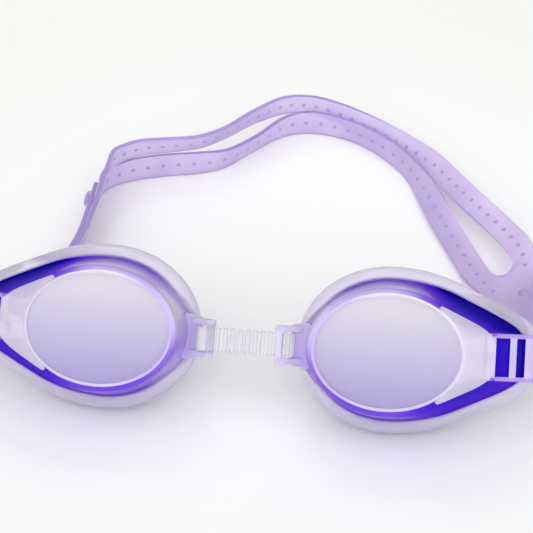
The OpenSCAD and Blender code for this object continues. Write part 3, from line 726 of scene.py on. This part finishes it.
def stripRing(x, halfWidth, halfThickness):
    # a rounded rectangle across the strip
    power = 2 / strip["squareness"]
    ring = []
    for index in range(strip["sections"]):
        turn = 2 * math.pi * index / strip["sections"]
        c, s = math.cos(turn), math.sin(turn)
        ring.append(Vector((x, halfWidth * math.copysign(abs(c) ** power, c),
                            stripHeight(x) + halfThickness * math.copysign(abs(s) ** power, s))))
    return ring


def makeNoseStrip():
    core = (strip["coreWidth"] / 2, strip["core"] / 2)
    rib = (strip["width"] / 2, strip["thickness"] / 2)
    half = strip["ribWidth"] / 2
    stations = [(stripStart, rib[0] - 0.25, rib[1] - 0.2), (stripStart + 0.25, *rib),
                (-barReach - 0.25, *rib), (-barReach, rib[0] - 0.25, core[1])]
    middle = -barReach + 1.0
    while middle < stripEnd - 0.5:
        stations += [(middle - half - 0.12, *core), (middle - half + 0.06, *rib),
                     (middle + half - 0.06, *rib), (middle + half + 0.12, *core)]
        middle += strip["ribPitch"]
    stations += [(stripEnd - 0.12, *core), (stripEnd, core[0] - 0.15, core[1] - 0.15)]
    bm = bmesh.new()
    loops = loft(bm, [stripRing(*station) for station in stations])
    closeEnds(bm, loops)
    pointOutwards(bm)
    band = newPiece("nose_strip", bm, [clearUrethane], 40.0)
    # the hook goes down through the slot of the left loop and along under its bar
    hook = []
    start = -slotFar + 0.35
    for length, top in (strip["hookUp"], strip["hookAlong"]):
        bm = bmesh.new()
        addBlock(bm, (start, -strip["hookHalf"], strip["hookBase"]), (start + length, strip["hookHalf"], top))
        softenCorners(bm, strip["edge"], 2, 40.0)
        hook.append(newPiece("hook", bm, [clearUrethane]))
    unitePieces(band, hook, 40.0)
    drop = -math.sin(math.radians(pose["cant"])) * (noseLoop["reach"] - noseLoop["bar"])
    placePiece(band, frontMatrix() @ Matrix.Translation((0.0, drop, 0.0)))
    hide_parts("nose_bridge")
    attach(band, "left_cup")


makeNoseStrip()
print("nose strip made")


strap = {"thickness": 1.2, "arm": 7.5, "slot": 5.0, "tail": 9.2, "hole": 3.4, "peg": 2.8, "pegHead": 5.0,
         "layerGap": 0.25, "slotReach": 0.3, "holeReach": 0.21, "tailPast": 0.34, "edge": 0.3,
         "studPitch": (4.8, 4.3), "stud": 1.3, "studHeight": 0.2}
strapMaterials = [strapSilicone, studSilicone, edgeSilicone]
halfTail, halfBand = strap["tail"] / 2, strap["arm"] + 0.1
# each row: middle of the band, the way its width points, half its width
leftBand = [
    ((-78.3, 7.6, 16.0), (0, 58, 81), halfTail), ((-75.6, 14.8, 12.0), (2, 42, 91), halfTail),
    ((-69.6, 21.4, 9.3), (8, 22, 97), halfTail), ((-63.0, 29.0, 8.0), (14, 8, 98), halfTail + 0.4),
    ((-58.4, 38.5, 7.4), (22, 0, 97), halfTail + 1.2), ((-56.7, 49.5, 7.3), (28, 0, 96), halfTail + 2.0),
    ((-56.6, 61.0, 7.4), (30, 0, 95), halfBand - 0.6), ((-56.8, 72.5, 7.4), (30, 0, 95), halfBand - 0.1),
    ((-56.7, 81.0, 7.4), (30, 0, 95), halfBand)]
# each row: middle and width direction of the lower arm, then of the upper arm
arms = [
    ((-57.8, 87.0, 3.9), (11, 0, 99), (-54.9, 87.5, 12.2), (28, 3, 96)),
    ((-54.7, 91.6, 3.9), (3, -1, 100), (-51.9, 92.1, 12.2), (19, -24, 95)),
    ((-48.9, 95.6, 4.0), (-2, 7, 100), (-46.7, 96.2, 12.0), (4, -36, 93)),
    ((-39.8, 99.0, 4.0), (3, 10, 99), (-38.1, 98.7, 12.0), (0, -43, 90)),
    ((-30.3, 101.3, 4.1), (13, 8, 99), (-29.5, 101.4, 12.1), (1, -51, 86)),
    ((-21.9, 104.9, 4.0), (28, -2, 96), (-22.0, 107.4, 12.3), (8, -54, 84)),
    ((-14.2, 114.3, 3.8), (35, -6, 93), (-14.2, 117.3, 12.4), (0, -48, 88)),
    ((-6.1, 124.9, 4.1), (19, 6, 98), (-5.1, 126.4, 11.8), (-14, -30, 94)),
    ((2.4, 129.0, 4.1), (0, 12, 99), (3.9, 130.9, 9.6), (-18, -15, 97)),
    ((12.2, 127.5, 4.1), (-9, 5, 99), (12.7, 130.0, 7.6), (-6, 5, 100)),
    ((21.5, 122.5, 4.4), (-6, 2, 100), (22.0, 125.4, 6.5), (16, 27, 95)),
    ((30.7, 114.9, 4.1), (11, 8, 99), (32.7, 118.3, 5.7), (35, 43, 83)),
    ((37.7, 106.0, 3.8), (33, 6, 94), (43.2, 108.5, 5.9), (51, 42, 75)),
    ((42.9, 95.6, 3.4), (69, 13, 71), (50.1, 98.5, 6.1), (64, 53, 55)),
    ((46.7, 86.4, 2.6), (87, 24, 43), (55.9, 89.2, 6.7), (73, 51, 44)),
    ((50.8, 76.8, 2.3), (88, 35, 31), (60.7, 82.7, 6.7), (77, 50, 39)),
    ((55.4, 66.4, 2.2), (87, 41, 27), (66.1, 74.6, 7.0), (78, 47, 41)),
    ((59.4, 57.4, 2.4), (83, 48, 27), (71.9, 64.0, 7.8), (78, 41, 48))]
rightBand = [
    ((69.8, 50.2, 5.0), (76, 59, 30), halfBand + 0.7), ((72.8, 45.4, 6.4), (74, 57, 38), halfBand),
    ((78.6, 38.0, 7.8), (66, 54, 52), halfTail + 2.0), ((85.0, 31.0, 9.6), (50, 54, 68), halfTail + 0.9),
    ((90.8, 22.5, 12.4), (32, 52, 78), halfTail + 0.3), ((94.2, 13.5, 15.4), (12, 40, 90), halfTail),
    ((92.6, 6.0, 18.4), (0, 46, 88), halfTail), ((87.0, 2.4, 20.2), (0, 60, 80), halfTail)]


def cupWay(side, direction):
    # a direction of a cup's own frame, seen from the table
    return (placeMatrix(side).to_3x3() @ Vector(direction)).normalized()


def postPoint(side):
    bend = math.radians(cup["windowAngle"])
    x = frontEnd + postReach * math.cos(bend) - buckle["thickness"] / 2 * math.sin(bend)
    z = (frontDepth(frontEnd) - buckle["drop"] - postReach * math.sin(bend)
         - buckle["thickness"] / 2 * math.cos(bend))
    return (placeMatrix(side) @ Vector((x, 0.0, z))) / millimetre - Vector(pose["shift"])


foldRadius = buckle["post"] / 2 + 0.3 + strap["thickness"] / 2


def acrossRow(middle, width, half):
    middle, width = Vector(middle), Vector(width).normalized()
    return [middle + width * reach for reach in (-half, -strap["slot"] / 2, strap["slot"] / 2, half)]


def armRow(low, lowWidth, high, highWidth):
    a, b = (Vector(width).normalized() * strap["arm"] / 2 for width in (lowWidth, highWidth))
    low, high = Vector(low), Vector(high)
    return [low - a, low + a, high - b, high + b]


def postRow(side, degrees):
    turn = math.radians(degrees)
    reach = cupWay(side, (1, 0, 0)) * math.cos(turn) + cupWay(side, (0, 0, 1)) * math.sin(turn)
    return acrossRow(postPoint(side) + reach * foldRadius, cupWay(side, (0, 1, 0)), halfTail)


rows = ([postRow(-1, 180)] + [acrossRow(*row) for row in leftBand] + [armRow(*row) for row in arms]
        + [acrossRow(*row) for row in rightBand] + [postRow(1, -90)])
lastRow = len(rows) - 1
leftSlot, rightSlot = len(leftBand) + 0.35, lastRow - len(rightBand) - 0.5
leftPeg, rightPeg = 8.0, lastRow - 7.0


def rowAt(index):
    if index < 0:
        return [2 * a - b for a, b in zip(rows[0], rows[1])]
    if index > lastRow:
        return [2 * a - b for a, b in zip(rows[lastRow], rows[lastRow - 1])]
    return rows[index]


def curveRow(u):
    # smooth curve through the rows; u counts rows
    index = max(0, min(math.floor(u), lastRow - 1))
    t = u - index
    return [0.5 * (2 * b + (c - a) * t + (2 * a - 5 * b + 4 * c - d) * t * t
                   + (3 * b - a - 3 * c + d) * t ** 3)
            for a, b, c, d in zip(rowAt(index - 1), rowAt(index), rowAt(index + 1), rowAt(index + 2))]


def middleOf(row):
    return (row[0] + row[1] + row[2] + row[3]) / 4


def forwardAt(u):
    return (middleOf(curveRow(u + 0.02)) - middleOf(curveRow(u - 0.02))).normalized()


def roundEnd(t):
    return 0.0 if t <= 0 else 1.0 if t >= 1 else math.sqrt(1 - (1 - t) ** 2)


def narrowed(edges, openness):
    # closes the slot's two sides towards the middle; a station is its four edges and whether it is open
    middle = (edges[1] + edges[2]) / 2
    share = max(0.06, openness)
    return [edges[0], middle.lerp(edges[1], share), middle.lerp(edges[2], share), edges[3]], openness > 0.001


def bandStation(u):
    reach = strap["slotReach"]
    return narrowed(curveRow(u), min(roundEnd((u - leftSlot) / reach), roundEnd((rightSlot - u) / reach)))


def outwardAt(u):
    row = curveRow(u)
    return -forwardAt(u).cross(row[3] - row[0]).normalized()


def tailStation(u, fromPost, openness):
    # the tail lies outside the band, further off where it leaves the post
    row = curveRow(u)
    width = (row[3] - row[0]).normalized()
    layer = strap["thickness"] + strap["layerGap"]
    gap = layer + (2 * foldRadius - layer) * max(0.0, 1 - fromPost / 2.2) ** 2
    middle = middleOf(row) + outwardAt(u) * gap
    return narrowed([middle + width * reach for reach in (-halfTail, -strap["hole"] / 2, strap["hole"] / 2,
                                                          halfTail)], openness)


def spaced(start, end, step):
    count = max(1, round(abs(end - start) / step))
    return [start + (end - start) * index / count for index in range(count + 1)]


def tailStations(peg, postRowNumber, way):
    # from the post to the tail's tip, with the button hole's round edge on the way
    far = abs(peg - postRowNumber)
    reach, past = strap["holeReach"], strap["tailPast"]
    stations = [(u, 0.0) for u in spaced(0.4, far - reach - 0.06, 0.2)]
    stations += [(far + reach * s, math.sqrt(1 - s * s)) for s in
                 (-0.98, -0.9, -0.75, -0.5, -0.25, 0.0, 0.25, 0.5, 0.75, 0.9, 0.98)]
    stations += [(far + reach + 0.04, 0.0), (far + past, 0.0)]
    return [tailStation(postRowNumber + way * u, u, openness) for u, openness in stations]


def makeStations():
    ends = [0.02, 0.08, 0.2, 0.36, 0.56, 0.78, 1.0]
    reach = strap["slotReach"]
    places = (spaced(0.0, leftSlot - 0.06, 0.2) + [leftSlot + s * reach for s in ends]
              + spaced(leftSlot + reach, rightSlot - reach, 0.2)[1:-1]
              + [rightSlot - s * reach for s in reversed(ends)] + spaced(rightSlot + 0.06, lastRow, 0.2))
    return (list(reversed(tailStations(leftPeg, 0, 1)))
            + [narrowed(postRow(-1, angle), 0.0) for angle in range(0, 180, 15)]
            + [bandStation(u) for u in places]
            + [narrowed(postRow(1, angle), 0.0) for angle in range(-105, -285, -15)]
            + tailStations(rightPeg, lastRow, -1))


def makeBand(name):
    # one flat grid laid along the route, without the cells of the slot and holes, then thickened
    stations = makeStations()
    armCells = 4
    columns = 2 * armCells + 1
    bm = bmesh.new()
    mark = bm.verts.layers.int.new("station")
    column = bm.verts.layers.int.new("column")
    grid = bmesh.ops.create_grid(bm, x_segments=len(stations) - 1, y_segments=columns, size=1.0)["verts"]
    for vert in grid:
        vert[mark] = round((vert.co.x + 1.0) / 2.0 * (len(stations) - 1))
        vert[column] = round((vert.co.y + 1.0) / 2.0 * columns)
        edges = stations[vert[mark]][0]
        if vert[column] <= armCells:
            vert.co = edges[0].lerp(edges[1], vert[column] / armCells)
        else:
            vert.co = edges[2].lerp(edges[3], (vert[column] - armCells - 1) / armCells)
    empty = [face for face in bm.faces
             if {vert[column] for vert in face.verts} == {armCells, armCells + 1}
             and all(stations[vert[mark]][1] for vert in face.verts)]
    bmesh.ops.delete(bm, geom=empty, context="FACES")
    piece = newPiece(name, bm, strapMaterials, 50.0)
    thicken = piece.modifiers.new("thickness", "SOLIDIFY")
    thicken.thickness, thicken.offset, thicken.use_even_offset = strap["thickness"], 0.0, True
    thicken.material_offset_rim = strapMaterials.index(edgeSilicone)
    rounding = piece.modifiers.new("rounded edges", "BEVEL")
    rounding.width, rounding.segments, rounding.limit_method = strap["edge"], 3, "ANGLE"
    rounding.angle_limit, rounding.material = math.radians(55.0), strapMaterials.index(edgeSilicone)
    bakeModifiers(piece, 50.0)
    return piece


def makeStuds():
    # low round studs along the middle of each arm, on the face that lies against the head
    bm = bmesh.new()
    for arm, pitch in zip((0, 2), strap["studPitch"]):
        travelled, last = 0.0, None
        for u in spaced(leftSlot + 0.15, rightSlot + 0.35, 0.02):
            row = curveRow(u)
            middle = (row[arm] + row[arm + 1]) / 2
            if last is not None:
                travelled += (middle - last).length
            if last is None or travelled >= pitch:
                travelled = 0.0
                forward = forwardAt(u)
                width = (row[arm + 1] - row[arm]).normalized()
                normal = forward.cross(width).normalized()
                matrix = Matrix.Translation(middle + normal * strap["thickness"] / 2) @ Matrix(
                    (forward, normal.cross(forward), normal)).transposed().to_4x4() @ Matrix.Diagonal(
                    (strap["stud"] / 2, strap["stud"] / 2, strap["studHeight"], 1.0))
                bmesh.ops.create_icosphere(bm, subdivisions=2, radius=1.0, matrix=matrix)
            last = middle
    return newPiece("studs", bm, strapMaterials)


def makePeg(u):
    # a mushroom: its profile is spun round the stem, which stands out of the band through the tail
    base = -strap["thickness"] / 2
    top = 1.5 * strap["thickness"] + strap["layerGap"] + 0.25
    radius, head = strap["peg"] / 2, strap["pegHead"] / 2
    profile = [(0.0, base - 0.35), (radius - 0.2, base - 0.35), (radius, base - 0.15), (radius, top),
               (head - 0.15, top), (head, top + 0.2), (head - 0.25, top + 0.65), (head * 0.55, top + 1.05),
               (0.0, top + 1.15)]
    bm = bmesh.new()
    verts = [bm.verts.new((x, 0.0, z)) for x, z in profile]
    edges = [bm.edges.new(pair) for pair in zip(verts, verts[1:])]
    bmesh.ops.spin(bm, geom=verts + edges, cent=(0, 0, 0), axis=(0, 0, 1), angle=2 * math.pi, steps=32,
                   use_merge=True)
    bmesh.ops.remove_doubles(bm, verts=bm.verts, dist=0.001)
    pointOutwards(bm)
    piece = newPiece("peg", bm, strapMaterials)
    turn = outwardAt(u).to_track_quat("Z", "Y").to_matrix().to_4x4()
    piece.data.transform(Matrix.Translation(middleOf(curveRow(u))) @ turn)
    return piece


def joinPieces(main, others):
    with bpy.context.temp_override(active_object=main, selected_editable_objects=[main, *others]):
        bpy.ops.object.join()


def makeStrap():
    band = makeBand("strap_band")
    studs = makeStuds()
    for polygon in studs.data.polygons:
        polygon.material_index = strapMaterials.index(studSilicone)
    unitePieces(band, [makePeg(leftPeg), makePeg(rightPeg)], 50.0)
    joinPieces(band, [studs])
    placePiece(band, Matrix.Scale(millimetre, 4) @ Matrix.Translation(pose["shift"]))
    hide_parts("strap")
    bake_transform(band)


makeStrap()
print("strap made")


studio = {"tableMiddle": "#fbfbfb", "tableFarShade": "#f0f1ed", "tableFade": (50.0, 170.0), "tableSize": 3.0,
          "front": (0.0, -0.87, 0.5), "dim": 0.5, "bright": 1.86,
          "wall": 0.95, "lampPower": 1.0, "lampSize": 0.3, "lampPlace": (-0.25, 0.65, 0.95)}


def tableFalloffShade(tree):
    # painted shade: the table is painted a little greyer away from the middle, where less light falls
    away = addNode(tree, "ShaderNodeVectorMath", {"operation": "LENGTH"}, {"Vector": objectPoint(tree)})
    near, far = studio["tableFade"]
    share = addNode(tree, "ShaderNodeMapRange", {
        "interpolation_type": "SMOOTHSTEP", "From Min": near, "From Max": far},
        {"Value": away.outputs["Value"]})
    tone = addNode(tree, "ShaderNodeValToRGB", links={"Fac": share.outputs["Result"]},
                   stops=[(0.0, linearColour(studio["tableMiddle"])),
                          (1.0, linearColour(studio["tableFarShade"]))])
    return {"Base Color": tone.outputs["Color"]}


def makeTable():
    # white laminate, satin: it takes soft shadows and hardly shines
    material = newMaterial("white laminate table", {"Roughness": 0.7, "Specular IOR Level": 0.2},
                           links=tableFalloffShade)
    bm = bmesh.new()
    bmesh.ops.create_grid(bm, x_segments=1, y_segments=1, size=studio["tableSize"] / 2)
    newPiece("table", bm, [material])


def makeWorld():
    # a white room, brightest in front and above like a large diffuser
    world = bpy.data.worlds.new("studio")
    bpy.context.scene.world = world
    world.use_nodes = True
    tree = world.node_tree
    tree.nodes.clear()
    way = addNode(tree, "ShaderNodeTexCoord")
    facing = addNode(tree, "ShaderNodeVectorMath", {"operation": "DOT_PRODUCT"})
    tree.links.new(way.outputs["Generated"], facing.inputs[0])
    facing.inputs[1].default_value = Vector(studio["front"]).normalized()
    level = addNode(tree, "ShaderNodeMapRange", {
        "interpolation_type": "SMOOTHSTEP", "From Min": 0.1, "From Max": 1.0, "To Min": studio["dim"],
        "To Max": studio["bright"]}, {"Value": facing.outputs["Value"]})
    white = (1.0, 1.0, 1.0, 1.0)
    room = addNode(tree, "ShaderNodeBackground", {"Color": white}, {"Strength": level.outputs["Result"]})
    # past the table's edge the camera sees an even white wall
    wall = addNode(tree, "ShaderNodeBackground", {"Color": white, "Strength": studio["wall"]})
    rays = addNode(tree, "ShaderNodeLightPath")
    mix = addNode(tree, "ShaderNodeMixShader", links={"Fac": rays.outputs["Is Camera Ray"]})
    tree.links.new(room.outputs["Background"], mix.inputs[1])
    tree.links.new(wall.outputs["Background"], mix.inputs[2])
    addNode(tree, "ShaderNodeOutputWorld", links={"Surface": mix.outputs["Shader"]})


def makeLamp():
    # a soft box high behind the goggles, for the highlights on the seals and the shadow in front
    lampData = bpy.data.lights.new("softbox", "AREA")
    lampData.energy, lampData.size = studio["lampPower"], studio["lampSize"]
    lamp = bpy.data.objects.new("softbox", lampData)
    lamp.location = studio["lampPlace"]
    lamp.rotation_mode = "QUATERNION"
    lamp.rotation_quaternion = (-Vector(studio["lampPlace"])).to_track_quat("-Z", "Y")
    bpy.context.scene.collection.objects.link(lamp)


makeTable()
makeWorld()
makeLamp()
bpy.context.scene.view_settings.view_transform = "Standard"
print("studio made")
